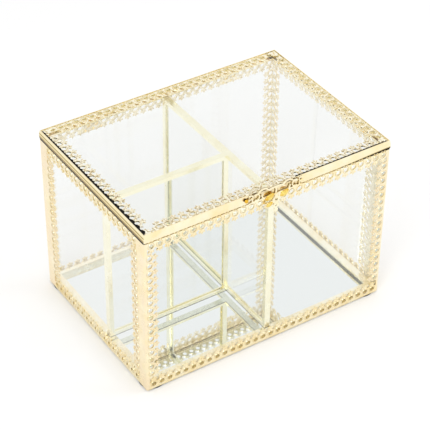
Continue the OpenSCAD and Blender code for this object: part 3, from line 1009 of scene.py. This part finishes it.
# %% Relief on the posts
post_length = rim_top - base_low - POST_START - POST_STOP
for side, (corner, along, inwards, span) in SIDES.items():
    ends = ((corner, along, BAND_AT_START[side]),
            (corner + along * span, -along, BAND_AT_END[side]))
    for end, away, plain in ends:
        x_name = "left" if end.x < 0 else "right"
        y_name = "front" if end.y < 0 else "back"
        post = f"corner_post_{y_name}_{x_name}"
        relief.append(relief_strip(f"relief_{post}_{side}", post, relief_body,
                                   end + UP * (base_low + POST_START), UP, away, -inwards,
                                   post_length, (plain + RING_PAST_BAND) * mm))
print("strips so far:", len(relief))

# %% Relief on the lid
lid_margin = LID_RING + RING_HOLE / 2
lace_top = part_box("lid_lace_front")[1].z
for side, (corner, along, inwards, span) in SIDES.items():
    start = corner + (along + inwards) * lace_edge + UP * lace_top + along * lid_margin
    length = span - 2 * (lace_edge + lid_margin)
    relief.append(relief_strip("relief_lid_" + side, "lid_lace_" + side, lid_relief[side],
                               start, along, inwards, UP, length, LID_RING, skip=1))
bpy.data.objects.remove(motif)
print("strips in all:", len(relief))

# %% [markdown]
# ## The ornament
# The scroll, its drop and the petals are castings, so none of their edges is sharp. A copy
# of each flat solid is remeshed with small even faces, which the Smooth modifier can then
# round all over as a founder's file does. The plate behind them keeps a brown patina in its
# hollows and shows between the scrolls, whose sides are painted dark near the plate as painted
# shade.

# %% Plate and scroll finish
PATINA_HOLLOW = (0.62, 0.47, 0.25)
PATINA_CROWN = (0.98, 0.88, 0.62)
PATINA_SCALE = 350
# Dark painted shade on the scroll's sides near the plate
SIDE_SHADE = (0.15, 0.09, 0.035)
SHADE_FROM, SHADE_TO = 0.65 * mm, 0.3 * mm
BUD_LENGTH = 3 * mm


def patina_gold():
    material, tree, shader = plated("patina_gold")
    paint(tree, shader, tones(tree, noise(tree, PATINA_SCALE), PATINA_HOLLOW, PATINA_CROWN))
    return material


def scroll_gold():
    """Plating on the front, painted shade low on the sides and an amber bud at the left end"""
    material, tree, shader = plated("scroll_gold")
    end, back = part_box("ornament_scroll")
    sides = rise(tree, coordinate(tree, "Y"), back.y - SHADE_FROM, back.y - SHADE_TO)
    bud = below(tree, coordinate(tree, "X"), end.x + BUD_LENGTH)
    front = where(tree, bud, AMBER_HOLLOW, plating(tree))
    paint(tree, shader, where(tree, sides, SIDE_SHADE, front))
    return material


patina = patina_gold()
scroll_finish = scroll_gold()
nodes["ornament_plate"].data.materials[0] = patina
print("made", patina.name, "and", scroll_finish.name)

# %% Castings
WELD = 0.001 * mm
COARSE, MEDIUM, FINE = 0.2 * mm, 0.15 * mm, 0.12 * mm


def casting(node, name, material, slot, voxel, turns):
    """Copy of a flat solid, made of even faces of a voxel's size and filed a number of turns"""
    piece = nodes[node].copy()
    piece.data = nodes[node].data.copy()
    piece.parent = None
    for key in [k for k in piece.keys() if k.startswith("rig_")]:
        del piece[key]
    scene.collection.objects.link(piece)
    make_only(piece)
    edit_all()
    bpy.ops.mesh.remove_doubles(threshold=WELD)
    bpy.ops.object.mode_set(mode="OBJECT")
    grain = piece.modifiers.new("grain", "REMESH")
    grain.mode = "VOXEL"
    grain.voxel_size = voxel
    bpy.ops.object.modifier_apply(modifier=grain.name)
    file = piece.modifiers.new("file", "SMOOTH")
    file.iterations = turns
    bpy.ops.object.modifier_apply(modifier=file.name)
    bpy.ops.object.shade_smooth()
    return settle(piece, name, body_of_node[node], slot, material, node)


castings = [
    casting("ornament_scroll", "scroll_casting", scroll_finish, "champagne_gold", COARSE, 4),
    casting("ornament_tab", "drop_casting", gold, "champagne_gold", MEDIUM, 2),
    casting("ornament_petal_left", "petal_left", amber, "amber_gold", MEDIUM, 6),
    casting("ornament_petal_right", "petal_right", amber, "amber_gold", MEDIUM, 6),
    casting("ornament_petal_low", "petal_low", amber, "amber_gold", FINE, 3)]
print("castings:", [(c.name, len(c.data.polygons)) for c in castings])

# %% [markdown]
# ## Floor and light
# The box stands on white paper in a white room. The room's own light is even, and two
# soft lamps give the metal something to catch. The room is pure white to the camera, in
# reflections and through the glass, and a little dimmer as a light on the paper.

# %% Floor
PAPER_SIZE = 12
PAPER_WHITE = 0.985
PAPER_ROUGHNESS = 0.9
deselect_all()
bpy.ops.mesh.primitive_plane_add(size=PAPER_SIZE, location=(0, 0, 0))
floor = bpy.context.object
floor.name = "paper"
paper, _, paper_shader = new_material("paper")
paper_shader.inputs["Base Color"].default_value = (PAPER_WHITE, PAPER_WHITE, PAPER_WHITE, 1)
paper_shader.inputs["Roughness"].default_value = PAPER_ROUGHNESS
paper_shader.inputs["Specular IOR Level"].default_value = 0
floor.data.materials.append(paper)
print("floor laid")

# %% World
ROOM_LIGHT = 0.9
ROOM_SEEN = 1
world = bpy.data.worlds.new("room")
world.use_nodes = True
scene.world = world
room = world.node_tree
lighting = room.nodes["Background"]
white = room.nodes.new("ShaderNodeBackground")
for shade, strength in ((lighting, ROOM_LIGHT), (white, ROOM_SEEN)):
    shade.inputs["Color"].default_value = (1, 1, 1, 1)
    shade.inputs["Strength"].default_value = strength
path = room.nodes.new("ShaderNodeLightPath")
seen = either(room, path.outputs["Is Camera Ray"], path.outputs["Is Glossy Ray"])
seen = either(room, seen, path.outputs["Is Transmission Ray"])
choose = room.nodes.new("ShaderNodeMixShader")
room.links.new(seen, choose.inputs["Fac"])
room.links.new(lighting.outputs[0], choose.inputs[1])
room.links.new(white.outputs[0], choose.inputs[2])
room.links.new(choose.outputs[0], room.nodes["World Output"].inputs["Surface"])
scene.view_settings.view_transform = "Standard"
print("room lit")

# %% Lamps
KEY_PLACE, KEY_WIDTH, KEY_WATTS = (-0.9, -0.7, 1.3), 0.6, 5
FILL_PLACE, FILL_WIDTH, FILL_WATTS = (1.2, -0.6, 0.9), 0.7, 3
box_middle = (cad_box[0] + cad_box[1]) / 2


def soft_lamp(name, place, width, watts):
    """Square lamp that faces the middle of the box"""
    data = bpy.data.lights.new(name, "AREA")
    data.shape = "SQUARE"
    data.size = width
    data.energy = watts
    lamp = bpy.data.objects.new(name, data)
    scene.collection.objects.link(lamp)
    lamp.location = place
    lamp.rotation_euler = (box_middle - Vector(place)).to_track_quat("-Z", "Y").to_euler()


soft_lamp("key_lamp", KEY_PLACE, KEY_WIDTH, KEY_WATTS)
soft_lamp("fill_lamp", FILL_PLACE, FILL_WIDTH, FILL_WATTS)
print("two lamps hung")
